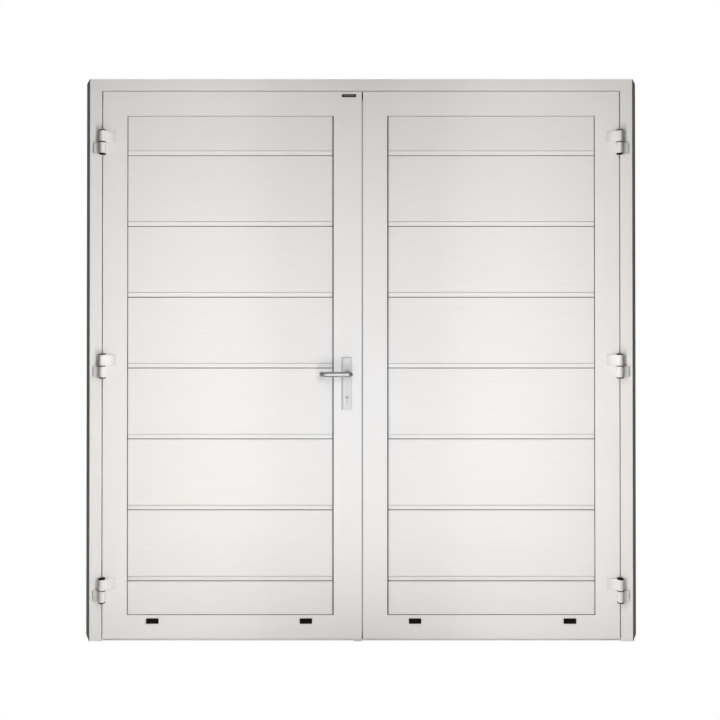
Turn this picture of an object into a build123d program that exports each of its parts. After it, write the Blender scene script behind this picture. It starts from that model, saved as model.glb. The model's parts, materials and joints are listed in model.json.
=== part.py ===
from build123d import *
import os

# A double utility door in its frame, closed, with every bolt drawn back.
# X runs across the door, Y from the outside to the inside, Z up.
# The origin is on the floor, in the middle of the frame's width and depth. Millimetres.

# Frame
frame_height = 2200.0
frame_width = 2124.0
frame_depth = 70.0
jamb_face = 46.0
stop_lip = 22.0
stop_setback = 30.0
profile_wall = 2.2
side_flare = 36.0
side_strip_nose = 1.5
threshold_height = 8.0
threshold_setback = 9.0
threshold_bevel = 3.0
frame_gasket_width = 10.0
frame_gasket_inset = 8.0
frame_gasket_nose_share = 0.5
anchor_radius = 5.25
anchor_depth = 50.0
anchor_low = 250.0
anchor_top_drop = 252.0
anchors_per_jamb = 4

# Leaves
leaf_gap = 5.0
head_gap = 2.6
leaf_bottom = 10.0
meeting_offset = 5.0
leaf_flange = 24.0
hinge_stile_face = 95.0
active_meeting_face = 110.0
passive_meeting_face = 95.0
top_rail_face = 96.0
bottom_rail_face = 92.5
panel_lip = 20.0
lip_wall = 2.5

# Infill panel, its gaskets and beads
panel_thickness = 40.0
panel_edge_gap = 4.0
panel_gasket = 3.5
gasket_cover = 12.0
gasket_show_hinge = 2.0
gasket_show_meeting = 4.4
gasket_show_level = 0.6
bead_wall = 1.6
groove_pitch = 277.9
groove_first = 242.4
groove_top_margin = 100.0
groove_width = 21.3
groove_line_width = 2.0
groove_line_depth = 6.0
groove_band_start = 0.4
groove_band_end = 4.0
groove_slit_width = 2.9
groove_slit_depth = 12.0

# Bottom seals, meeting seals, drain caps and foot block
seal_width = 8.0
seal_clearance = 0.3
seal_end_gap = 5.0
meeting_seal_width = 6.0
meeting_seal_depth = 1.5
meeting_seal_setback = 2.5
meeting_seal_round_share = 0.5
drain_width = 48.0
drain_height = 19.5
drain_proud = 5.0
drain_round = 2.0
drain_edge = 1.0
drain_rise = 70.0
drain_from_hinge_stile = 101.0
drain_from_meeting_stile = 108.0
foot_width = 31.0
foot_depth = 7.0
foot_clearance = 0.5

# Hinges
hinge_low = 203.0
hinge_top_drop = 250.0
hinges_per_leaf = 3
barrel_radius = 12.0
cap_radius = 13.0
barrel_standoff = 13.4
barrel_inset = 4.5
pin_radius = 6.0
pin_clearance = 0.05
knuckle_height = 42.0
washer_height = 3.4
cap_height = 4.3
cap_edge = 1.0
axial_clearance = 0.1
jamb_wing_reach = 36.0
jamb_wing_tip = 7.0
leaf_wing_reach = 49.0
leaf_wing_tip = 1.6
wing_root = 2.9
wing_top_a_share = 0.62
wing_top_b_share = 0.72

# Lever, plates and spindle
spindle_height = 1046.0
cylinder_drop = 92.0
backset = 57.0
plate_width = 38.0
plate_above_spindle = 64.0
plate_below_cylinder = 50.0
plate_thickness = 8.0
plate_bevel = 4.5
neck_radius = 9.0
lever_radius = 9.5
hub_radius = 13.0
hub_height = 5.0
neck_straight = 14.0
lever_standoff = 38.0
lever_crank = 40.0
lever_elbow = 10.0
lever_reach = 98.0
lever_return = 23.0
lever_bend = 14.0
spindle_side = 8.0
spindle_hole_radius = 6.3
screw_radius = 2.5
screw_head_radius = 4.5
screw_head_height = 3.0
screw_inset = 14.0
screw_bite = 5.0
screw_clearance = 0.3

# Lock
lock_case_depth = 80.0
lock_case_above = 74.0
lock_case_below = 64.0
lock_case_thickness = 16.0
lock_case_wall = 1.5
faceplate_thickness = 3.0
faceplate_width = 22.0
faceplate_margin = 20.0
mortise_clearance = 0.2
bolt_clearance = 0.3
bolt_thickness = 11.0
latch_height = 22.0
latch_rest = 2.0
latch_length = 33.0
latch_bevel_share = 0.5
dead_bolt_height = 34.0
dead_bolt_rise = 31.0
dead_bolt_length = 35.0
strike_margin = 3.0

# Cylinder
cylinder_radius = 8.5
cylinder_stem = 10.0
cylinder_height = 33.0
cylinder_proud = 2.5
cylinder_hole_clearance = 0.3
plug_radius = 6.5
cam_radius = 13.2
cam_width = 7.0
cam_thickness = 10.0
cam_clearance = 0.4
keyway_width = 10.0
keyway_height = 2.6
keyway_depth = 12.0

# Flush bolts in the passive meeting edge
flush_radius = 6.0
flush_inset = 24.0
flush_depth = 47.0
flush_top_length = 266.0
flush_bottom_length = 290.0
flush_start = 1.0
flush_top_throw = 20.0
flush_bottom_throw = 10.0
flush_arm = 8.0
flush_arm_from_tail = 40.0
flush_plate_width = 22.0
flush_plate_length = 150.0
flush_recess = 1.5
guide_height = 30.0
guide_depth = 46.0
guide_start = 7.0
guide_clearance = 0.2
keep_length = 60.0
keep_width = 30.0
keep_thickness = 2.0
keep_clearance = 0.5

overrun = 5.0

# Planes and edges that the pieces share
y_out = -frame_depth / 2
y_in = frame_depth / 2
frame_edge = frame_width / 2
face_edge = frame_edge - jamb_face
stop_edge = face_edge - stop_lip
leaf_edge = face_edge - leaf_gap
leaf_top = frame_height - jamb_face - head_gap
leaf_rear_top = leaf_top - stop_lip
panel_edge = leaf_edge - hinge_stile_face
panel_low = leaf_bottom + bottom_rail_face
panel_high = leaf_top - top_rail_face
panel_front = y_out + lip_wall + panel_gasket
panel_back = panel_front + panel_thickness
bead_front = panel_back + panel_gasket
y_stop = y_out + stop_setback
y_flange = y_out + leaf_flange
axis_edge = face_edge - leaf_gap / 2 - barrel_inset
axis_y = y_out - barrel_standoff
cylinder_z = spindle_height - cylinder_drop

# The left leaf is the active one, the right leaf the passive one
left = -1
right = 1
meeting_edge = {
    left: meeting_offset - leaf_gap / 2,
    right: meeting_offset + leaf_gap / 2,
}
meeting_face = {left: active_meeting_face, right: passive_meeting_face}
inner_edge = {side: meeting_edge[side] + side * meeting_face[side] for side in (left, right)}
handle_x = meeting_edge[left] - backset
flush_x = meeting_edge[right] + flush_inset
flush_y = y_out + flush_depth
hinge_rise = (frame_height - hinge_top_drop - hinge_low) / (hinges_per_leaf - 1)
hinge_heights = [hinge_low + hinge_rise * i for i in range(hinges_per_leaf)]
anchor_rise = (frame_height - anchor_top_drop - anchor_low) / (anchors_per_jamb - 1)
anchor_heights = [anchor_low + anchor_rise * i for i in range(anchors_per_jamb)]
groove_count = int((panel_high - groove_top_margin - groove_first) / groove_pitch) + 1


def block(x, y, z):
    """A box from three (low, high) pairs."""
    corner = Pos((x[0] + x[1]) / 2, (y[0] + y[1]) / 2, (z[0] + z[1]) / 2)
    return corner * Box(abs(x[1] - x[0]), abs(y[1] - y[0]), abs(z[1] - z[0]))


def upright(points, low, high):
    """A prism along Z from (x, y) points."""
    face = make_face(Polyline(*points, close=True))
    return Pos(0, 0, low) * extrude(face, high - low, dir=(0, 0, 1))


def crosspiece(points, start, end):
    """A prism along X from (y, z) points."""
    face = Plane.YZ * make_face(Polyline(*points, close=True))
    return Pos(start, 0, 0) * extrude(face, end - start, dir=(1, 0, 0))


def through(points, start, end):
    """A prism along Y from (x, z) points."""
    face = Plane.XZ * make_face(Polyline(*points, close=True))
    return Pos(0, start, 0) * extrude(face, end - start, dir=(0, 1, 0))


def rod_x(radius, start, end, y, z):
    return Pos((start + end) / 2, y, z) * Rot(0, 90, 0) * Cylinder(radius, abs(end - start))


def rod_y(radius, x, start, end, z):
    return Pos(x, (start + end) / 2, z) * Rot(90, 0, 0) * Cylinder(radius, abs(end - start))


def rod_z(radius, x, y, low, high):
    return Pos(x, y, (low + high) / 2) * Cylinder(radius, high - low)


def rectangle(u, v):
    return [(u[0], v[0]), (u[1], v[0]), (u[1], v[1]), (u[0], v[1])]


def across(points, edge, inward):
    """Section points, width u from an upright's edge and depth v from the outside, as (x, y)."""
    return [(edge + inward * u, y_out + v) for u, v in points]


def along(points, edge, inward):
    """Section points, width u from a rail's edge and depth v from the outside, as (y, z)."""
    return [(y_out + v, edge + inward * u) for u, v in points]


# Sections: an outline and its hollow chambers, as width u and depth v
def frame_section():
    lip = jamb_face + stop_lip
    outline = [
        (0, 0), (jamb_face, 0), (jamb_face, stop_setback),
        (lip, stop_setback), (lip, frame_depth), (0, frame_depth),
    ]
    chambers = [
        rectangle((profile_wall, jamb_face - profile_wall), (profile_wall, stop_setback - profile_wall)),
        rectangle((profile_wall, lip - profile_wall), (stop_setback, frame_depth - profile_wall)),
    ]
    return outline, chambers


def leaf_section(face, rebate):
    inner = face - panel_lip
    outline = [(0, 0), (face, 0), (face, lip_wall), (inner, lip_wall), (inner, frame_depth)]
    if rebate:
        outline += [(rebate, frame_depth), (rebate, leaf_flange), (0, leaf_flange)]
    else:
        outline += [(0, frame_depth)]
    chambers = [
        rectangle((profile_wall, inner - profile_wall), (profile_wall, leaf_flange - profile_wall)),
        rectangle((rebate + profile_wall, inner - profile_wall), (leaf_flange, frame_depth - profile_wall)),
    ]
    return outline, chambers


# Frame
def mitre(side, for_jamb):
    """The wedge that trims a jamb or the head to the mitre line at one top corner."""
    reach = jamb_face + stop_lip + overrun
    edge = side * frame_edge
    outer = (edge + side * overrun, frame_height + overrun)
    inner = (edge - side * reach, frame_height - reach)
    spare = (inner[0], outer[1]) if for_jamb else (outer[0], inner[1])
    return through([outer, inner, spare], y_out - overrun, y_in + overrun)


def anchor_holes(side):
    span = (side * (frame_edge + side_flare + overrun), side * (stop_edge - overrun))
    return [rod_x(anchor_radius, *span, y_out + anchor_depth, z) for z in anchor_heights]


def jamb(side):
    outline, chambers = frame_section()
    piece = upright(across(outline, side * frame_edge, -side), 0, frame_height)
    for chamber in chambers:
        piece -= upright(across(chamber, side * frame_edge, -side), -overrun, frame_height + overrun)
    return piece - mitre(side, True) - anchor_holes(side)


def bolt_passage(clearance, low, high):
    """The hole that a flush bolt runs through."""
    return rod_z(flush_radius + clearance, flush_x, flush_y, low - overrun, high + overrun)


def head():
    outline, chambers = frame_section()
    piece = crosspiece(along(outline, frame_height, -1), -frame_edge, frame_edge)
    for chamber in chambers:
        piece -= crosspiece(along(chamber, frame_height, -1), -frame_edge - overrun, frame_edge + overrun)
    underside = frame_height - jamb_face - stop_lip
    bolt_hole = bolt_passage(keep_clearance, underside, underside + profile_wall)
    return piece - mitre(left, False) - mitre(right, False) - bolt_hole


def side_strip(side):
    """The dark wedge down a jamb's outer side, thin at the face and wide at the back."""
    points = [(0, 0), (-side_strip_nose, 0), (-side_flare, frame_depth), (0, frame_depth)]
    return upright(across(points, side * frame_edge, -side), 0, frame_height) - anchor_holes(side)


def threshold():
    front = y_out + threshold_setback
    points = [
        (-face_edge, front), (face_edge, front), (face_edge, y_stop), (stop_edge, y_stop),
        (stop_edge, y_in), (-stop_edge, y_in), (-stop_edge, y_stop), (-face_edge, y_stop),
    ]
    sill = upright(points, 0, threshold_height)
    nose = sill.edges().filter_by(Axis.X).group_by(Axis.Y)[0].sort_by(Axis.Z)[-1]
    return chamfer(nose, threshold_bevel) - bolt_passage(keep_clearance, 0, threshold_height)


def frame_gasket():
    """One strip on the stop, up both jambs and across the head, with a soft narrow nose."""
    outer = face_edge - frame_gasket_inset
    inner = outer - frame_gasket_width
    top = frame_height - jamb_face - frame_gasket_inset
    nose = y_flange + seal_clearance
    trim = frame_gasket_width * (1 - frame_gasket_nose_share) / 2
    middle = (y_stop + nose) / 2

    def hoop(grow, back, front):
        ring = block((-outer + grow, outer - grow), (front, back), (threshold_height, top - grow))
        hole = block(
            (-inner - grow, inner + grow), (front - overrun, back + overrun),
            (threshold_height - overrun, top - frame_gasket_width + grow),
        )
        return ring - hole

    return hoop(0, y_stop, middle) + hoop(trim, middle, nose)


def head_keep():
    underside = frame_height - jamb_face - stop_lip
    plate = block(
        (flush_x - keep_length / 2, flush_x + keep_length / 2),
        (flush_y - keep_width / 2, flush_y + keep_width / 2),
        (underside - keep_thickness, underside),
    )
    plate = fillet(plate.edges().filter_by(Axis.Z), keep_thickness)
    return plate - bolt_passage(keep_clearance, underside - keep_thickness, underside)


# Hinges
def wing(direction, x, reach, tip):
    """A hinge wing's (x, y) face: flat on the door's face, sweeping up in a cove to the barrel."""
    top_a = barrel_radius * wing_top_a_share
    top_b = barrel_standoff + barrel_radius * wing_top_b_share

    def at(a, b):
        return (x + direction * a, y_out - b)

    top = at(top_a, top_b)
    sides = Polyline(top, at(0, barrel_standoff), at(wing_root, 0), at(reach, 0), at(reach, tip))
    return make_face(sides + TangentArc(at(reach, tip), top, tangent=(-direction, 0)))


def hinge_half(side, direction, reach, tip, low, high):
    x = side * axis_edge
    plate = Pos(0, 0, low) * extrude(wing(direction, x, reach, tip), high - low, dir=(0, 0, 1))
    bore = rod_z(pin_radius + pin_clearance, x, axis_y, low - overrun, high + overrun)
    return plate + rod_z(barrel_radius, x, axis_y, low, high) - bore


def jamb_hinge_halves(side):
    start = washer_height / 2
    return [
        hinge_half(side, side, jamb_wing_reach, jamb_wing_tip, z - start - knuckle_height, z - start)
        for z in hinge_heights
    ]


def leaf_hinge_halves(side):
    start = washer_height / 2 + axial_clearance
    return [
        hinge_half(side, -side, leaf_wing_reach, leaf_wing_tip, z + start, z + start + knuckle_height)
        for z in hinge_heights
    ]


def hinge_cap(x, low, high, rim):
    disc = rod_z(cap_radius, x, axis_y, low, high)
    return chamfer(disc.faces().sort_by(Axis.Z)[rim].edges(), cap_edge)


def upper_caps(side):
    start = washer_height / 2 + axial_clearance + knuckle_height
    return [hinge_cap(side * axis_edge, z + start, z + start + cap_height, -1) for z in hinge_heights]


def both_sides(make):
    return [make(side * axis_edge, z) for side in (left, right) for z in hinge_heights]


def lower_cap(x, z):
    top = z - washer_height / 2 - knuckle_height
    return hinge_cap(x, top - cap_height, top, 0)


def washer(x, z):
    half = washer_height / 2
    ring = rod_z(cap_radius, x, axis_y, z - half, z + half)
    return ring - rod_z(pin_radius + pin_clearance, x, axis_y, z - half - overrun, z + half + overrun)


def pin(x, z):
    low = z - washer_height / 2 - knuckle_height
    return rod_z(pin_radius, x, axis_y, low, z + washer_height / 2 + knuckle_height)


# Leaf frames
def hinge_stile_solid(side):
    outline, chambers = leaf_section(hinge_stile_face, stop_lip)
    return upright(across(outline, side * leaf_edge, -side), leaf_bottom, leaf_top), chambers


def meeting_stile_solid(side):
    outline, chambers = leaf_section(meeting_face[side], 0)
    return upright(across(outline, meeting_edge[side], side), leaf_bottom, leaf_top), chambers


def hollowed_stile(solid, chambers, edge, inward):
    """A stile cut hollow and stepped back at the top to clear the head's stop."""
    for chamber in chambers:
        solid -= upright(across(chamber, edge, inward), leaf_bottom - overrun, leaf_top + overrun)
    step = block(
        (-frame_edge, frame_edge), (y_flange, y_in + overrun), (leaf_rear_top, leaf_top + overrun)
    )
    return solid - step


def hinge_stile(side):
    return hollowed_stile(*hinge_stile_solid(side), side * leaf_edge, -side)


def rail(side, face, rebate, edge, inward):
    """A hollow rail, its ends shaped to fit against both stiles."""
    outline, chambers = leaf_section(face, rebate)
    ends = sorted([
        side * (leaf_edge - hinge_stile_face / 2), meeting_edge[side] + side * meeting_face[side] / 2
    ])
    piece = crosspiece(along(outline, edge, inward), *ends)
    for chamber in chambers:
        piece -= crosspiece(along(chamber, edge, inward), ends[0] - overrun, ends[1] + overrun)
    return piece - hinge_stile_solid(side)[0] - meeting_stile_solid(side)[0]


def top_rail(side):
    return rail(side, top_rail_face, stop_lip, leaf_top, -1)


def bottom_rail(side):
    return rail(side, bottom_rail_face, 0, leaf_bottom, 1)


def euro_outline(clearance):
    """The lock cylinder's keyhole-shaped (x, z) section at the handle."""
    disc = Circle(cylinder_radius + clearance)
    stem_length = cylinder_height - cylinder_radius - cylinder_stem / 2
    stem = Pos(0, -stem_length / 2) * Rectangle(cylinder_stem + 2 * clearance, stem_length)
    foot = Pos(0, -stem_length) * Circle(cylinder_stem / 2 + clearance)
    return Plane.XZ * (Pos(handle_x, cylinder_z) * (disc + stem + foot))


def euro_prism(clearance, start, end):
    return Pos(0, start, 0) * extrude(euro_outline(clearance), end - start, dir=(0, 1, 0))


screw_heights = [
    spindle_height + plate_above_spindle - screw_inset, cylinder_z - plate_below_cylinder + screw_inset
]
faceplate_low = cylinder_z - lock_case_below - faceplate_margin
faceplate_high = spindle_height + lock_case_above + faceplate_margin


def edge_mortise(side, width, y, low, high):
    """The cut for a plate let into a meeting edge."""
    deep = faceplate_thickness + overrun
    half = width / 2 + mortise_clearance
    x_span = (meeting_edge[side] - deep, meeting_edge[side] + deep)
    return block(x_span, (y - half, y + half), (low - mortise_clearance, high + mortise_clearance))


def lock_mortise(side):
    return edge_mortise(side, faceplate_width, 0, faceplate_low, faceplate_high)


def lock_stile():
    piece = hollowed_stile(*meeting_stile_solid(left), meeting_edge[left], left)
    y_span = (y_out - overrun, y_in + overrun)
    piece -= rod_y(neck_radius + screw_clearance, handle_x, *y_span, spindle_height)
    piece -= euro_prism(cylinder_hole_clearance, *y_span)
    for z in screw_heights:
        piece -= rod_y(screw_radius + screw_clearance, handle_x, *y_span, z)
    return piece - lock_mortise(left)


flush_top_tail = leaf_rear_top - flush_start - flush_top_length
flush_bottom_tail = leaf_bottom + flush_start + flush_bottom_length
flush_plates = {
    "top": flush_top_tail + flush_arm_from_tail + flush_top_throw / 2,
    "bottom": flush_bottom_tail - flush_arm_from_tail - flush_bottom_throw / 2,
}


def strike_stile():
    piece = hollowed_stile(*meeting_stile_solid(right), meeting_edge[right], right) - lock_mortise(right)
    half = flush_plate_length / 2
    for middle in flush_plates.values():
        piece -= edge_mortise(right, flush_plate_width, flush_y, middle - half, middle + half)
    return piece


# Infill
def groove_cut(z, face, inward):
    """A board joint across a panel face: a fine line, a band that leans inwards, then a deep slit."""
    top = z + groove_width / 2
    bottom = z - groove_width / 2
    band_top = top - groove_line_width
    slit_top = bottom + groove_slit_width
    profile = [
        (-overrun, top), (groove_line_depth, top), (groove_line_depth, band_top),
        (groove_band_start, band_top), (groove_band_end, slit_top),
        (groove_slit_depth, slit_top), (groove_slit_depth, bottom), (-overrun, bottom),
    ]
    return crosspiece([(face + inward * v, height) for v, height in profile], -frame_edge, frame_edge)


def infill_panel(side):
    reach = panel_lip - panel_edge_gap
    x_span = (side * (panel_edge + reach), inner_edge[side] - side * reach)
    panel = block(x_span, (panel_front, panel_back), (panel_low - reach, panel_high + reach))
    for i in range(groove_count):
        z = groove_first + groove_pitch * i
        panel -= groove_cut(z, panel_front, 1)
        panel -= groove_cut(z, panel_back, -1)
    return panel


def panel_gasket_ring(side, front, back):
    """A flat ring round the panel opening, showing most beside the meeting stile."""
    outer = block(
        (side * (panel_edge + gasket_cover), inner_edge[side] - side * gasket_cover), (front, back),
        (panel_low - gasket_cover, panel_high + gasket_cover),
    )
    hole = block(
        (side * (panel_edge - gasket_show_hinge), inner_edge[side] + side * gasket_show_meeting),
        (front - overrun, back + overrun),
        (panel_low + gasket_show_level, panel_high - gasket_show_level),
    )
    return outer - hole


def outer_gasket(side):
    return panel_gasket_ring(side, y_out + lip_wall, panel_front)


def inner_gasket(side):
    return panel_gasket_ring(side, panel_back, bead_front)


def panel_beads(side):
    """Four hollow beads that hold the panel in from the inside."""
    tube = [(bead_front, y_in), (bead_front + bead_wall, y_in - bead_wall)]
    beads = []
    for edge, inward in ((side * panel_edge, side), (inner_edge[side], -side)):
        x = (edge, edge + inward * panel_lip)
        bore = (edge + inward * bead_wall, edge + inward * (panel_lip - bead_wall))
        low, high = panel_low - panel_lip, panel_high + panel_lip
        beads.append(block(x, tube[0], (low, high)) - block(bore, tube[1], (low - overrun, high + overrun)))
    x_span = (side * panel_edge, inner_edge[side])
    bore_span = (side * (panel_edge + overrun), inner_edge[side] - side * overrun)
    for edge, inward in ((panel_low, -1), (panel_high, 1)):
        z = (edge, edge + inward * panel_lip)
        bore = (edge + inward * bead_wall, edge + inward * (panel_lip - bead_wall))
        beads.append(block(x_span, tube[0], z) - block(bore_span, tube[1], bore))
    return beads


# Small fittings on the leaves
def bottom_seal(side):
    x_span = (side * (leaf_edge - stop_lip - seal_end_gap), meeting_edge[side] + side * seal_end_gap)
    low = threshold_height + seal_clearance
    piece = block(x_span, (-seal_width / 2, seal_width / 2), (low, leaf_bottom))
    if side == right:
        piece -= bolt_passage(keep_clearance, low, leaf_bottom)
    return piece


def meeting_seal(side):
    """A soft bead near the outside of a meeting edge, rounded towards the other leaf."""
    low = y_out + meeting_seal_setback
    x_span = (meeting_edge[side], meeting_edge[side] - side * meeting_seal_depth)
    bead = block(x_span, (low, low + meeting_seal_width), (leaf_bottom, leaf_rear_top))
    outer = bead.edges().filter_by(Axis.Z).sort_by(Axis.X)
    return fillet(outer[-2:] if side == left else outer[:2], meeting_seal_depth * meeting_seal_round_share)


def drain_caps(side):
    caps = []
    z = leaf_bottom + drain_rise
    near_hinge = side * (panel_edge - drain_from_hinge_stile)
    near_meeting = inner_edge[side] + side * drain_from_meeting_stile
    for x in (near_hinge, near_meeting):
        outline = Pos(x, z) * RectangleRounded(drain_width, drain_height, drain_round)
        cap = Pos(0, y_out - drain_proud, 0) * extrude(Plane.XZ * outline, drain_proud, dir=(0, 1, 0))
        caps.append(fillet(cap.faces().sort_by(Axis.Y)[0].edges(), drain_edge))
    return caps


def foot_block():
    x_span = (meeting_edge[left] - foot_width, meeting_edge[left])
    return block(x_span, (y_out, y_out + foot_depth), (foot_clearance, leaf_bottom))


# Lever set. The outer pieces are made on the outside and mirrored for the inside.
def inside_twin(shape):
    return mirror(shape, about=Plane.XZ)


def handle_plate():
    low = cylinder_z - plate_below_cylinder
    high = spindle_height + plate_above_spindle
    x_span = (handle_x - plate_width / 2, handle_x + plate_width / 2)
    plate = block(x_span, (y_out - plate_thickness, y_out), (low, high))
    plate = chamfer(plate.faces().sort_by(Axis.Y)[0].edges(), plate_bevel)
    y_span = (y_out - plate_thickness - overrun, y_out + overrun)
    plate -= rod_y(neck_radius + pin_clearance, handle_x, *y_span, spindle_height)
    return plate - euro_prism(cylinder_hole_clearance, *y_span)


def outer_plate():
    plate = handle_plate()
    for z in screw_heights:
        plate -= rod_y(screw_radius + pin_clearance, handle_x, y_out - screw_bite, y_out + overrun, z)
    return plate


def inner_plate():
    plate = inside_twin(handle_plate())
    y_span = (y_in - overrun, y_in + plate_thickness + overrun)
    for z in screw_heights:
        plate -= rod_y(screw_radius + screw_clearance, handle_x, *y_span, z)
    return plate


def plate_screws():
    screws = []
    seat = y_in + plate_thickness
    for z in screw_heights:
        shank = rod_y(screw_radius, handle_x, y_out - screw_bite, seat, z)
        head_disc = rod_y(screw_head_radius, handle_x, seat, seat + screw_head_height, z)
        screws.append(shank + chamfer(head_disc.faces().sort_by(Axis.Y)[-1].edges(), screw_head_height / 2))
    return screws


def lever():
    """A round bar: out of the plate, cranked to the edge, along the leaf and back towards it."""
    start = y_out - plate_thickness
    bar_y = start - lever_standoff
    tip_x = handle_x - lever_reach
    route = FilletPolyline(
        (handle_x, start, spindle_height), (handle_x, start - neck_straight, spindle_height),
        (handle_x + lever_crank, bar_y, spindle_height), (tip_x, bar_y, spindle_height),
        (tip_x, bar_y + lever_return, spindle_height), radius=[neck_straight / 2, lever_elbow, lever_bend],
    )
    bar = sweep((route ^ 0) * Circle(lever_radius), path=route)
    hub = rod_y(hub_radius, handle_x, start - hub_height, start - axial_clearance, spindle_height)
    hub = fillet(hub.faces().sort_by(Axis.Y)[0].edges(), hub_height / 2)
    bar -= block(
        (handle_x - plate_width, handle_x + plate_width), (start - axial_clearance, start + overrun),
        (spindle_height - plate_width, spindle_height + plate_width),
    )
    neck = rod_y(neck_radius, handle_x, start - hub_height, y_out, spindle_height)
    return bar + hub + neck - spindle_square(axial_clearance)


def spindle_square(clearance):
    reach = y_in + plate_thickness + clearance
    half = spindle_side / 2 + clearance
    z_span = (spindle_height - half, spindle_height + half)
    return block((handle_x - half, handle_x + half), (-reach, reach), z_span)


# Lock
lock_low = cylinder_z - lock_case_below
lock_high = spindle_height + lock_case_above
faceplate_back = meeting_edge[left] - faceplate_thickness
dead_bolt_z = cylinder_z + dead_bolt_rise


def bolt_block(tail, nose, middle, height, clearance):
    half = bolt_thickness / 2 + clearance
    rise = height / 2 + clearance
    return block((tail, nose), (-half, half), (middle - rise, middle + rise))


def bolt_openings(start, end, clearance):
    latch = bolt_block(start, end, spindle_height, latch_height, clearance)
    return latch + bolt_block(start, end, dead_bolt_z, dead_bolt_height, clearance)


def lock_case():
    half = lock_case_thickness / 2
    back = faceplate_back - lock_case_depth
    case = block((back, faceplate_back), (-half, half), (lock_low, lock_high))
    case -= block(
        (back + lock_case_wall, faceplate_back - lock_case_wall),
        (-half + lock_case_wall, half - lock_case_wall),
        (lock_low + lock_case_wall, lock_high - lock_case_wall),
    )
    case -= bolt_openings(faceplate_back - overrun, faceplate_back + overrun, bolt_clearance)
    y_span = (-half - overrun, half + overrun)
    case -= rod_y(spindle_hole_radius, handle_x, *y_span, spindle_height)
    for z in screw_heights:
        case -= rod_y(screw_radius + screw_clearance, handle_x, *y_span, z)
    return case - euro_prism(cylinder_hole_clearance, *y_span)


def edge_plate(x_span, half_width, y, low, high):
    plate = block(x_span, (y - half_width, y + half_width), (low, high))
    return fillet(plate.edges().filter_by(Axis.X), half_width / 2)


def faceplate():
    plate = edge_plate(
        (faceplate_back, meeting_edge[left]), faceplate_width / 2, 0, faceplate_low, faceplate_high
    )
    return plate - bolt_openings(faceplate_back - overrun, meeting_edge[left] + overrun, bolt_clearance)


def strike_plate():
    back = meeting_edge[right] + faceplate_thickness
    plate = edge_plate((meeting_edge[right], back), faceplate_width / 2, 0, faceplate_low, faceplate_high)
    return plate - bolt_openings(meeting_edge[right] - overrun, back + overrun, strike_margin)


def latch_bolt():
    """A sprung latch, bevelled on the side that meets the strike."""
    nose = meeting_edge[left] + latch_rest
    piece = bolt_block(nose - latch_length, nose, spindle_height, latch_height, 0)
    edge = piece.faces().sort_by(Axis.X)[-1].edges().sort_by(Axis.Y)[-1]
    return chamfer(edge, bolt_thickness * latch_bevel_share)


def dead_bolt():
    nose = meeting_edge[left] - mortise_clearance
    return bolt_block(nose - dead_bolt_length, nose, dead_bolt_z, dead_bolt_height, 0)


def cylinder_body():
    reach = y_in + plate_thickness + cylinder_proud
    body = euro_prism(0, -reach, reach)
    body -= rod_y(plug_radius + pin_clearance, handle_x, -reach - overrun, reach + overrun, cylinder_z)
    half = cam_thickness / 2 + cam_clearance
    sweep_radius = cam_radius + cam_clearance
    return body - block(
        (handle_x - sweep_radius, handle_x + sweep_radius), (-half, half),
        (cylinder_z - sweep_radius, cylinder_z + sweep_radius),
    )


def cylinder_plug():
    """The turning plug with its cam standing up in the middle and a keyway at each end."""
    reach = y_in + plate_thickness + cylinder_proud
    plug = rod_y(plug_radius, handle_x, -reach, reach, cylinder_z)
    half = cam_thickness / 2
    cam = block(
        (handle_x - cam_width / 2, handle_x + cam_width / 2), (-half, half),
        (cylinder_z, cylinder_z + cam_radius - cam_clearance),
    )
    plug += cam
    for end in (-1, 1):
        plug -= block(
            (handle_x - keyway_width / 2, handle_x + keyway_width / 2),
            (end * (reach - keyway_depth), end * (reach + overrun)),
            (cylinder_z - keyway_height / 2, cylinder_z + keyway_height / 2),
        )
    return plug


# Flush bolts
def flush_bolt(low, high, arm_z):
    rod = rod_z(flush_radius, flush_x, flush_y, low, high)
    arm = block(
        (meeting_edge[right] + flush_recess, flush_x), (flush_y - flush_arm / 2, flush_y + flush_arm / 2),
        (arm_z - flush_arm / 2, arm_z + flush_arm / 2),
    )
    return rod + arm


def top_flush_bolt():
    end = flush_top_tail + flush_top_length
    return flush_bolt(flush_top_tail, end, flush_top_tail + flush_arm_from_tail)


def bottom_flush_bolt():
    end = flush_bottom_tail - flush_bottom_length
    return flush_bolt(end, flush_bottom_tail, flush_bottom_tail - flush_arm_from_tail)


def flush_plate(middle, throw):
    """A plate in the meeting edge, with the slot that the bolt's thumb piece slides in."""
    x_span = (meeting_edge[right], meeting_edge[right] + faceplate_thickness)
    half = flush_plate_length / 2
    plate = edge_plate(x_span, flush_plate_width / 2, flush_y, middle - half, middle + half)
    slot_half = (throw + flush_arm) / 2 + keep_clearance
    return plate - block(
        (x_span[0] - overrun, x_span[1] + overrun),
        (flush_y - flush_arm / 2 - bolt_clearance, flush_y + flush_arm / 2 + bolt_clearance),
        (middle - slot_half, middle + slot_half),
    )


def flush_guide(low):
    """A block in the stile's inner chamber that the bolt slides through."""
    start = meeting_edge[right] + profile_wall + guide_clearance
    guide = block(
        (start, start + guide_depth),
        (y_flange + guide_clearance, y_in - profile_wall - guide_clearance), (low, low + guide_height),
    )
    return guide - bolt_passage(pin_clearance, low, low + guide_height)


leaf_names = {left: "active", right: "passive"}
side_names = {left: "left", right: "right"}

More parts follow.
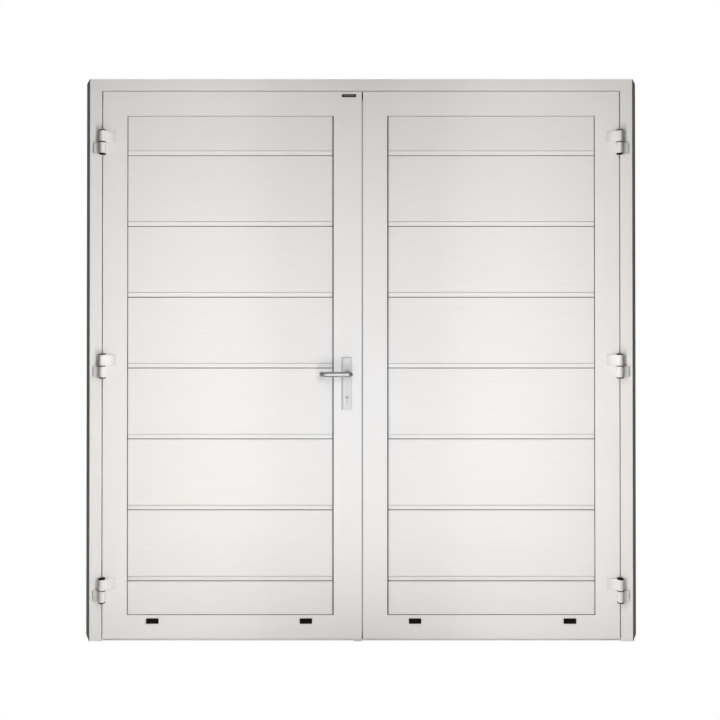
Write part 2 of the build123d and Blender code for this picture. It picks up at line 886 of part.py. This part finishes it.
pieces = {
    "head": head(),
    "threshold": threshold(),
    "frame_gasket": frame_gasket(),
    "head_bolt_keep": head_keep(),
    "hinge_pins": both_sides(pin),
    "hinge_washers": both_sides(washer),
    "hinge_lower_caps": both_sides(lower_cap),
}
for side, name in side_names.items():
    pieces[name + "_jamb"] = jamb(side)
    pieces[name + "_side_strip"] = side_strip(side)
    pieces[name + "_jamb_hinge_halves"] = jamb_hinge_halves(side)
for side, name in leaf_names.items():
    pieces[name + "_hinge_stile"] = hinge_stile(side)
    pieces[name + "_top_rail"] = top_rail(side)
    pieces[name + "_bottom_rail"] = bottom_rail(side)
    pieces[name + "_infill_panel"] = infill_panel(side)
    pieces[name + "_outer_panel_gasket"] = outer_gasket(side)
    pieces[name + "_inner_panel_gasket"] = inner_gasket(side)
    pieces[name + "_panel_beads"] = panel_beads(side)
    pieces[name + "_bottom_seal"] = bottom_seal(side)
    pieces[name + "_meeting_seal"] = meeting_seal(side)
    pieces[name + "_drain_caps"] = drain_caps(side)
    pieces[name + "_leaf_hinge_halves"] = leaf_hinge_halves(side)
    pieces[name + "_hinge_upper_caps"] = upper_caps(side)
pieces["active_lock_stile"] = lock_stile()
pieces["passive_strike_stile"] = strike_stile()
pieces["foot_block"] = foot_block()
pieces["outer_handle_plate"] = outer_plate()
pieces["inner_handle_plate"] = inner_plate()
pieces["handle_plate_screws"] = plate_screws()
pieces["outer_lever"] = lever()
pieces["inner_lever"] = inside_twin(lever())
pieces["spindle"] = spindle_square(0)
pieces["lock_case"] = lock_case()
pieces["lock_faceplate"] = faceplate()
pieces["latch_bolt"] = latch_bolt()
pieces["dead_bolt"] = dead_bolt()
pieces["cylinder_body"] = cylinder_body()
pieces["cylinder_plug"] = cylinder_plug()
pieces["strike_plate"] = strike_plate()
pieces["top_flush_bolt"] = top_flush_bolt()
pieces["bottom_flush_bolt"] = bottom_flush_bolt()
pieces["top_flush_plate"] = flush_plate(flush_plates["top"], flush_top_throw)
pieces["bottom_flush_plate"] = flush_plate(flush_plates["bottom"], flush_bottom_throw)
pieces["top_flush_guide"] = flush_guide(leaf_rear_top - guide_start - guide_height)
pieces["bottom_flush_guide"] = flush_guide(leaf_bottom + guide_start)

os.makedirs("parts", exist_ok=True)
for name, shape in pieces.items():
    solids = shape if isinstance(shape, list) else [shape]
    export_step(Compound(children=[s for piece in solids for s in piece.solids()]), f"parts/{name}.step")
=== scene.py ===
import json
import math

import bmesh
import bpy
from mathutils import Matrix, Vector


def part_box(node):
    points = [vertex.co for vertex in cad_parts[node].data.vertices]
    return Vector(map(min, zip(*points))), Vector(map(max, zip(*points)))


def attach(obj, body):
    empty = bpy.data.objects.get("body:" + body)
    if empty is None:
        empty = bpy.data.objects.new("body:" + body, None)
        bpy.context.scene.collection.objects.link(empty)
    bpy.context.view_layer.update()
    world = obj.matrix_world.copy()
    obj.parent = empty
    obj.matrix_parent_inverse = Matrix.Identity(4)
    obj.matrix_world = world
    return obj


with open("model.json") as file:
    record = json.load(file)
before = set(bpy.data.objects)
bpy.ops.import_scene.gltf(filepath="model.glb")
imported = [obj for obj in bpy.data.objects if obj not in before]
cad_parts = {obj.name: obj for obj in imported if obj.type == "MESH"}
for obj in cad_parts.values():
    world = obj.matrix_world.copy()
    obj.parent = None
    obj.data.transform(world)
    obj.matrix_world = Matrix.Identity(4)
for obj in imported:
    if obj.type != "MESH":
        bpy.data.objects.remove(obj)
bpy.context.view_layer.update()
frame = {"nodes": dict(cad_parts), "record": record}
nodes = frame["nodes"]

scene = bpy.context.scene
scene.view_settings.view_transform = "Standard"
scene.view_settings.look = "None"


# Finishes

noise_low, noise_high = 0.3, 0.7  # nearly all of a noise's values lie between these
paint_gloss = 0.3
# painted shade: the near black that the paint fades to deep in joints and keyways
painted_recess_shade = (0.030, 0.029, 0.028, 1.0)


def new_finish(name, roughness=0.5, metallic=0.0):
    """A material with its shader and the object's own coordinates to hang a pattern on."""
    material = bpy.data.materials.new(name)
    material.use_nodes = True
    tree = material.node_tree
    tree.nodes.clear()
    output = tree.nodes.new("ShaderNodeOutputMaterial")
    shader = tree.nodes.new("ShaderNodeBsdfPrincipled")
    shader.inputs["Roughness"].default_value = roughness
    shader.inputs["Metallic"].default_value = metallic
    tree.links.new(shader.outputs["BSDF"], output.inputs["Surface"])
    place = tree.nodes.new("ShaderNodeTexCoord").outputs["Object"]
    return material, tree, shader, place


def speckle(tree, place, stretch, detail=3.0, rough=0.5):
    """Noise whose grain is one over stretch metres long on each axis."""
    mapping = tree.nodes.new("ShaderNodeMapping")
    mapping.inputs["Scale"].default_value = stretch
    noise = tree.nodes.new("ShaderNodeTexNoise")
    noise.inputs["Scale"].default_value = 1.0
    noise.inputs["Detail"].default_value = detail
    noise.inputs["Roughness"].default_value = rough
    tree.links.new(place, mapping.inputs["Vector"])
    tree.links.new(mapping.outputs["Vector"], noise.inputs["Vector"])
    return noise.outputs["Fac"]


def tint(tree, shader, grain, dark, light, low=noise_low, high=noise_high):
    """Base colour running from dark to light with the grain."""
    ramp = tree.nodes.new("ShaderNodeValToRGB")
    ramp.color_ramp.elements[0].position = low
    ramp.color_ramp.elements[0].color = (*dark, 1.0)
    ramp.color_ramp.elements[1].position = high
    ramp.color_ramp.elements[1].color = (*light, 1.0)
    tree.links.new(grain, ramp.inputs["Fac"])
    tree.links.new(ramp.outputs["Color"], shader.inputs["Base Color"])


def sheen_spread(tree, shader, grain, low, high):
    """Roughness running from low to high with the grain."""
    spread = tree.nodes.new("ShaderNodeMapRange")
    spread.inputs["From Min"].default_value = noise_low
    spread.inputs["From Max"].default_value = noise_high
    spread.inputs["To Min"].default_value = low
    spread.inputs["To Max"].default_value = high
    tree.links.new(grain, spread.inputs["Value"])
    tree.links.new(spread.outputs["Result"], shader.inputs["Roughness"])


def relief(tree, shader, grain, strength, depth, under=None):
    """Bumps that follow the grain, on top of an earlier relief if one is given."""
    bump = tree.nodes.new("ShaderNodeBump")
    bump.inputs["Strength"].default_value = strength
    bump.inputs["Distance"].default_value = depth
    tree.links.new(grain, bump.inputs["Height"])
    if under:
        tree.links.new(under.outputs["Normal"], bump.inputs["Normal"])
    tree.links.new(bump.outputs["Normal"], shader.inputs["Normal"])
    return bump


def paint_recess_shade(tree, shader, place, node, start, end):
    """Painted shade: fades the colour to near black between two depths under a node's front and
    back faces, down in its recesses.
    """
    low, high = (corner.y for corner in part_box(node))
    half_depth = (high - low) / 2
    paint = shader.inputs["Base Color"].links[0].from_socket
    axes = tree.nodes.new("ShaderNodeSeparateXYZ")
    from_middle = tree.nodes.new("ShaderNodeMath")
    from_middle.operation = "SUBTRACT"
    from_middle.inputs[1].default_value = (low + high) / 2
    either_side = tree.nodes.new("ShaderNodeMath")
    either_side.operation = "ABSOLUTE"
    shade_ramp = tree.nodes.new("ShaderNodeMapRange")
    shade_ramp.inputs["From Min"].default_value = half_depth - start
    shade_ramp.inputs["From Max"].default_value = half_depth - end
    shade_mix = tree.nodes.new("ShaderNodeMix")
    shade_mix.data_type = "RGBA"
    shade_mix.inputs["B"].default_value = painted_recess_shade
    tree.links.new(place, axes.inputs["Vector"])
    tree.links.new(axes.outputs["Y"], from_middle.inputs[0])
    tree.links.new(from_middle.outputs["Value"], either_side.inputs[0])
    tree.links.new(either_side.outputs["Value"], shade_ramp.inputs["Value"])
    tree.links.new(shade_ramp.outputs["Result"], shade_mix.inputs["Factor"])
    tree.links.new(paint, shade_mix.inputs["A"])
    tree.links.new(shade_mix.outputs["Result"], shader.inputs["Base Color"])


def powder_coat(name, dark, light, recess_shade_node=None):
    """Satin paint with a faint orange peel; given a node, painted shade darkens its recesses under
    its faces.
    """
    material, tree, shader, place = new_finish(name)
    shader.inputs["Specular IOR Level"].default_value = paint_gloss
    cloud = speckle(tree, place, (3.0, 3.0, 3.0), detail=2.0)
    peel = speckle(tree, place, (700.0, 700.0, 700.0), detail=2.0)
    tint(tree, shader, cloud, dark, light)
    # painted shade down in the node's recesses, such as the plug's keyway
    if recess_shade_node:
        paint_recess_shade(tree, shader, place, recess_shade_node, start=0.0004, end=0.0012)
    sheen_spread(tree, shader, peel, low=0.50, high=0.60)
    relief(tree, shader, peel, strength=0.06, depth=0.0003)
    return material


def embossed_paint():
    """The infill's paint over a wood grain rolled along the sheet, with painted shade deep in its
    joints.
    """
    material, tree, shader, place = new_finish("embossed_panel_paint")
    shader.inputs["Specular IOR Level"].default_value = paint_gloss
    streaks = speckle(tree, place, (9.0, 9.0, 330.0), detail=5.0, rough=0.62)
    pores = speckle(tree, place, (45.0, 45.0, 900.0), detail=2.0)
    dark, light = (0.736, 0.708, 0.686), (0.770, 0.742, 0.719)
    tint(tree, shader, streaks, dark, light, low=0.32, high=0.68)
    # painted shade deep in the joints across the panel
    paint_recess_shade(tree, shader, place, "active_infill_panel", start=0.0042, end=0.0115)
    sheen_spread(tree, shader, pores, low=0.50, high=0.62)
    under = relief(tree, shader, streaks, strength=0.14, depth=0.0006)
    relief(tree, shader, pores, strength=0.08, depth=0.0003, under=under)
    return material


def rubber(name, dark, light, roughness, gloss=0.5):
    """A moulded or extruded skin with a fine grit."""
    material, tree, shader, place = new_finish(name)
    shader.inputs["Specular IOR Level"].default_value = gloss
    grit = speckle(tree, place, (420.0, 420.0, 420.0), detail=3.0)
    tint(tree, shader, grit, dark, light)
    sheen_spread(tree, shader, grit, low=roughness - 0.06, high=roughness + 0.06)
    relief(tree, shader, grit, strength=0.10, depth=0.0002)
    return material


def brushed_metal(name, dark, light, stretch, roughness, metallic=1.0):
    """Metal with fine lines along its least stretched axis; anodising makes it less metallic."""
    material, tree, shader, place = new_finish(name, metallic=metallic)
    lines = speckle(tree, place, stretch, detail=3.0)
    tint(tree, shader, lines, dark, light)
    sheen_spread(tree, shader, lines, low=roughness - 0.05, high=roughness + 0.07)
    relief(tree, shader, lines, strength=0.05, depth=0.0001)
    return material


along_x = (60.0, 900.0, 900.0)
along_threshold = (25.0, 900.0, 900.0)
every_way = (300.0, 300.0, 300.0)

finishes = {
    "frame_paint": powder_coat(
        "white_frame_paint", (0.765, 0.737, 0.714), (0.785, 0.756, 0.733)),
    # painted shade: the hinges' white is a darker copy of the frame's white
    "hinge_paint": powder_coat(
        "hinge_white_with_painted_shade", (0.632, 0.610, 0.592), (0.658, 0.635, 0.616)),
    "panel_paint": embossed_paint(),
    "side_strip": rubber(
        "dark_side_strip", (0.134, 0.134, 0.135), (0.181, 0.181, 0.182), 0.55, gloss=0.0),
    "seal_rubber": rubber(
        "black_seal_rubber", (0.014, 0.014, 0.015), (0.026, 0.026, 0.027), 0.60, gloss=0.15),
    "black_plastic": rubber(
        "black_cap_plastic", (0.003, 0.0028, 0.0028), (0.006, 0.0055, 0.0055), 0.45, gloss=0.08),
    "foot_plastic": rubber(
        "pale_foot_plastic", (0.60, 0.595, 0.585), (0.66, 0.655, 0.645), 0.50),
    "lever_steel": brushed_metal(
        "brushed_lever_steel", (0.30, 0.30, 0.30), (0.37, 0.37, 0.365), along_x, 0.36),
    "plate_metal": powder_coat(
        "satin_plate_metal", (0.66, 0.64, 0.62), (0.70, 0.68, 0.66)),
    "cylinder_metal": powder_coat(
        "satin_cylinder", (0.56, 0.545, 0.525), (0.62, 0.605, 0.585)),
    "threshold_metal": brushed_metal(
        "threshold_aluminium", (0.74, 0.735, 0.725), (0.82, 0.815, 0.805), along_threshold, 0.50,
        metallic=0.25),
    "hardware_steel": brushed_metal(
        "zinc_hardware_steel", (0.52, 0.52, 0.51), (0.66, 0.66, 0.65), every_way, 0.40),
}

# the plug's paint, with painted shade in its keyway
plug_paint_with_keyway_shade = powder_coat(
    "satin_plug_with_painted_keyway_shade", (0.56, 0.545, 0.525), (0.62, 0.605, 0.585), recess_shade_node="cylinder_plug")

for part in frame["record"]["subparts"]:
    node = nodes[part["node"]]
    node.data.materials.clear()
    node.data.materials.append(finishes[part["material_slot"]])
nodes["cylinder_plug"].data.materials[0] = plug_paint_with_keyway_shade


# Pieces

def add_piece(name, shape, body, slot):
    """Turns a finished bmesh into a piece that rides on a body."""
    mesh = bpy.data.meshes.new(name)
    shape.to_mesh(mesh)
    shape.free()
    piece = bpy.data.objects.new(name, mesh)
    scene.collection.objects.link(piece)
    mesh.materials.append(finishes[slot])
    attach(piece, body)


def rounded_plate(width, height, thickness, corner, edge):
    """A plate facing -Y, its back on the XZ plane, with round corners and a softened rim."""
    shape = bmesh.new()
    bmesh.ops.create_cube(shape, size=1.0)
    bmesh.ops.scale(shape, vec=(width, thickness, height), verts=shape.verts)
    bmesh.ops.translate(shape, vec=(0, -thickness / 2, 0), verts=shape.verts)
    uprights = [e for e in shape.edges if abs(e.verts[0].co.y - e.verts[1].co.y) > thickness / 2]
    bmesh.ops.bevel(
        shape, geom=uprights, offset=corner, affect="EDGES", segments=5, profile=0.5, material=-1)
    rim = [e for e in shape.edges if all(v.co.y < -thickness * 0.9 for v in e.verts)]
    bmesh.ops.bevel(
        shape, geom=rim, offset=edge, affect="EDGES", segments=2, profile=0.5, material=-1)
    return shape


front_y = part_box("active_lock_stile")[0].y
lip_reach, lip_thickness, lip_root, lip_setback = 0.00045, 0.0012, 0.0005, 0.0013
screw_radius, screw_height, screw_proud, screw_inset = 0.0038, 0.0014, 0.0003, 0.010
flank_width, flank_sunk = 0.0042, 0.0010


def bare_plate():
    """The small bare plate under the head at the active leaf's top corner."""
    middle_x, middle_z = -0.0476, 2.1346
    plate_thickness, field_thickness, field_sunk = 0.0012, 0.0005, 0.0002
    shape = rounded_plate(
        width=0.056, height=0.0115, thickness=plate_thickness, corner=0.0012, edge=0.0003)
    bmesh.ops.translate(shape, vec=(middle_x, front_y, middle_z), verts=shape.verts)
    add_piece("bare_plate", shape, "active_leaf", "black_plastic")
    field = rounded_plate(
        width=0.047, height=0.0046, thickness=field_thickness, corner=0.0008, edge=0.0002)
    field_y = front_y - plate_thickness + field_sunk
    bmesh.ops.translate(field, vec=(middle_x, field_y, middle_z), verts=field.verts)
    add_piece("bare_plate_field", field, "active_leaf", "side_strip")


def screw_head(name, seat, outward, body):
    """A low countersunk head with a round socket, sunk into the plate it holds."""
    under_radius = screw_radius * 0.8
    rim_round = screw_height * 0.2
    socket_inset, socket_slope, socket_depth = (
        screw_radius * 0.45, screw_radius * 0.05, screw_height * 0.6)
    shape = bmesh.new()
    bmesh.ops.create_cone(
        shape, cap_ends=True, segments=24, radius1=under_radius, radius2=screw_radius,
        depth=screw_height)
    top = [f for f in shape.faces if f.normal.z > 0.9]
    bmesh.ops.bevel(
        shape, geom=list(top[0].edges), offset=rim_round, affect="EDGES", segments=2, profile=0.5,
        material=-1)
    crown = max((f for f in shape.faces if f.normal.z > 0.99), key=lambda f: f.calc_area())
    bmesh.ops.inset_region(shape, faces=[crown], thickness=socket_inset, use_even_offset=True)
    bmesh.ops.inset_region(shape, faces=[crown], thickness=socket_slope, depth=-socket_depth)
    turn = Vector((0, 0, 1)).rotation_difference(Vector(outward)).to_matrix()
    bmesh.ops.rotate(shape, cent=(0, 0, 0), matrix=turn, verts=shape.verts)
    proud = Vector(outward) * (screw_proud - screw_height / 2)
    bmesh.ops.translate(shape, vec=Vector(seat) + proud, verts=shape.verts)
    add_piece(name, shape, body, "hardware_steel")


def edge_plate_screws():
    """Two screws through each plate in the meeting edges, and two through the bolt's keep."""
    for node, body, side in (
            ("lock_faceplate", "active_leaf", 1),
            ("strike_plate", "passive_leaf", -1),
            ("top_flush_plate", "passive_leaf", -1),
            ("bottom_flush_plate", "passive_leaf", -1)):
        low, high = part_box(node)
        face_x = high.x if side > 0 else low.x
        middle_y = (low.y + high.y) / 2
        for end, seat_z in (("low", low.z + screw_inset), ("high", high.z - screw_inset)):
            screw_head(f"{node}_screw_{end}", (face_x, middle_y, seat_z), (side, 0, 0), body)
    low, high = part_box("head_bolt_keep")
    for end, seat_x in (("left", low.x + screw_inset), ("right", high.x - screw_inset)):
        seat = (seat_x, (low.y + high.y) / 2, low.z)
        screw_head(f"keep_screw_{end}", seat, (0, 0, -1), "frame")


def seal_lip(leaf, side):
    """The thin lip on the front of a meeting seal, which narrows the gap between the leaves."""
    tip_round = lip_thickness * 0.4
    low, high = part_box(f"{leaf}_meeting_seal")
    root = low.x if side > 0 else high.x
    tip = root - side * lip_reach
    shape = bmesh.new()
    bmesh.ops.create_cube(shape, size=1.0)
    bmesh.ops.scale(
        shape, vec=(lip_reach + lip_root, lip_thickness, high.z - low.z), verts=shape.verts)
    middle = (root + tip + side * lip_root) / 2
    bmesh.ops.translate(
        shape, vec=(middle, low.y + lip_setback, (low.z + high.z) / 2), verts=shape.verts)
    edge = [e for e in shape.edges if all(abs(v.co.x - tip) < lip_root / 4 for v in e.verts)
            and abs(e.verts[0].co.z - e.verts[1].co.z) > lip_root]
    bmesh.ops.bevel(
        shape, geom=edge, offset=tip_round, affect="EDGES", segments=3, profile=0.5, material=-1)
    add_piece(f"{leaf}_seal_lip", shape, f"{leaf}_leaf", "seal_rubber")


def plate_flank():
    """The flank that slopes from the outer handle plate's hinge-side edge down to the stile."""
    low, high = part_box("outer_handle_plate")
    shape = bmesh.new()
    section = [shape.verts.new(spot) for spot in (
        (low.x + flank_sunk, front_y, low.z),
        (low.x - flank_width, front_y, low.z),
        (low.x + flank_sunk, low.y + flank_sunk, low.z))]
    foot = shape.faces.new(section)
    raised = bmesh.ops.extrude_face_region(shape, geom=[foot])["geom"]
    top = [v for v in raised if isinstance(v, bmesh.types.BMVert)]
    bmesh.ops.translate(shape, vec=(0, 0, high.z - low.z), verts=top)
    bmesh.ops.recalc_face_normals(shape, faces=shape.faces)
    add_piece("handle_plate_flank", shape, "active_leaf", "plate_metal")


bare_plate()
plate_flank()
edge_plate_screws()
seal_lip("active", -1)
seal_lip("passive", 1)


# Studio

floor_reach = 30.0
floor_grey = (0.60, 0.60, 0.60, 1.0)
cool_blue = (0.02, 0.5, 1.0)


def floor():
    """A pale floor that lights the door from below and is seen as plain white."""
    shape = bmesh.new()
    bmesh.ops.create_grid(shape, x_segments=1, y_segments=1, size=floor_reach)
    mesh = bpy.data.meshes.new("studio_floor")
    shape.to_mesh(mesh)
    shape.free()
    sheet = bpy.data.objects.new("studio_floor", mesh)
    scene.collection.objects.link(sheet)
    material, tree, shader, place = new_finish("pale_floor", 0.9)
    shader.inputs["Base Color"].default_value = floor_grey
    white = tree.nodes.new("ShaderNodeEmission").outputs["Emission"]
    seen = tree.nodes.new("ShaderNodeLightPath").outputs["Is Camera Ray"]
    mix = tree.nodes.new("ShaderNodeMixShader")
    tree.links.new(seen, mix.inputs["Fac"])
    tree.links.new(shader.outputs["BSDF"], mix.inputs[1])
    tree.links.new(white, mix.inputs[2])
    tree.links.new(mix.outputs["Shader"], tree.nodes["Material Output"].inputs["Surface"])
    mesh.materials.append(material)


def hang_light(name, lamp, place, aim):
    """Hangs a lamp at a place, turned to what it is aimed at and out of the camera's sight."""
    holder = bpy.data.objects.new(name, lamp)
    holder.location = place
    holder.rotation_mode = "QUATERNION"
    holder.rotation_quaternion = (Vector(aim) - Vector(place)).to_track_quat("-Z", "Y")
    holder.visible_camera = False
    scene.collection.objects.link(holder)


def strip_light(name, place, aim, width, height, power):
    """A soft box."""
    lamp = bpy.data.lights.new(name, "AREA")
    lamp.shape = "RECTANGLE"
    lamp.size = width
    lamp.size_y = height
    lamp.energy = power
    hang_light(name, lamp, place, aim)


def cool_spot(place, aim, radius, power):
    """A soft round pool of cooler light on the middle of the door."""
    lamp = bpy.data.lights.new("cool_spot", "SPOT")
    reach = (Vector(aim) - Vector(place)).length
    lamp.spot_size = 2 * math.atan(radius / reach)
    lamp.spot_blend = 0.25
    lamp.shadow_soft_size = 0.4
    lamp.energy = power
    lamp.color = cool_blue
    hang_light("cool_spot", lamp, place, aim)


def studio_air(strength, colour):
    """Even light from all round, in front of a white backdrop."""
    world = bpy.data.worlds.new("studio_air")
    world.use_nodes = True
    tree = world.node_tree
    light = tree.nodes["Background"]
    light.inputs["Color"].default_value = (*colour, 1.0)
    light.inputs["Strength"].default_value = strength
    backdrop = tree.nodes.new("ShaderNodeBackground")
    backdrop.inputs["Color"].default_value = (1.0, 1.0, 1.0, 1.0)
    seen = tree.nodes.new("ShaderNodeLightPath")
    mix = tree.nodes.new("ShaderNodeMixShader")
    tree.links.new(seen.outputs["Is Camera Ray"], mix.inputs["Fac"])
    tree.links.new(light.outputs["Background"], mix.inputs[1])
    tree.links.new(backdrop.outputs["Background"], mix.inputs[2])
    tree.links.new(mix.outputs["Shader"], tree.nodes["World Output"].inputs["Surface"])
    scene.world = world


def photo_camera():
    """An all but level camera in front of the door, its frame slid to the picture's."""
    picture_pixels, sensor_width = 720, 36.0
    millimetres_a_pixel = 3.915
    focal_pixels = 803.0
    distance = focal_pixels * millimetres_a_pixel / 1000
    eye_x, eye_z = 0.0, 1.30
    tilt = math.radians(0.3)
    middle_x, middle_z = -0.0043, 1.0989
    across = picture_pixels * millimetres_a_pixel / 1000
    lens = bpy.data.cameras.new("photo_camera")
    lens.sensor_width = sensor_width
    lens.lens = sensor_width * focal_pixels / picture_pixels
    lens.shift_x = (middle_x - eye_x) / across
    lens.shift_y = (middle_z - eye_z - distance * math.tan(tilt)) / across
    lens.clip_end = 200.0
    holder = bpy.data.objects.new("photo_camera", lens)
    holder.location = (eye_x, front_y - distance, eye_z)
    holder.rotation_euler = (math.pi / 2 + tilt, 0, 0)
    scene.collection.objects.link(holder)
    scene.camera = holder


def door_lights():
    """Soft boxes low and high, washes to either side, a cool pool, and lights behind the door."""
    strip_light("low_light", place=(0.0, -1.0, 0.15), aim=(0.0, 0.0, 0.15),
                width=4.5, height=0.5, power=3.8)
    strip_light("high_light", place=(0.0, -2.0, 2.2), aim=(0.0, 0.0, 2.2),
                width=4.5, height=0.5, power=5.3)
    for side, name in ((-1, "left"), (1, "right")):
        for offset, power in ((0.0, 22.8), (0.22, 25.6)):
            wash_place = (-side * offset, -1.2, 1.0)
            strip_light(f"{name}_wash", wash_place, aim=(side * 20.0, 0.0, 1.0),
                        width=0.15, height=2.6, power=power)
        strip_light(f"{name}_edge_light", place=(side * 6.0, 4.0, 1.4), aim=(side * 1.1, 0.0, 1.1),
                    width=2.5, height=2.5, power=260.0)
    cool_spot(place=(0.0, -2.0, 0.95), aim=(0.0, front_y, 0.95), radius=0.45, power=10.0)
    strip_light("back_light", place=(0.0, 4.0, 2.6), aim=(0.0, 0.0, 1.0),
                width=4.0, height=3.0, power=45.0)


floor()
studio_air(strength=0.15, colour=(1.0, 0.99, 0.98))
door_lights()
photo_camera()
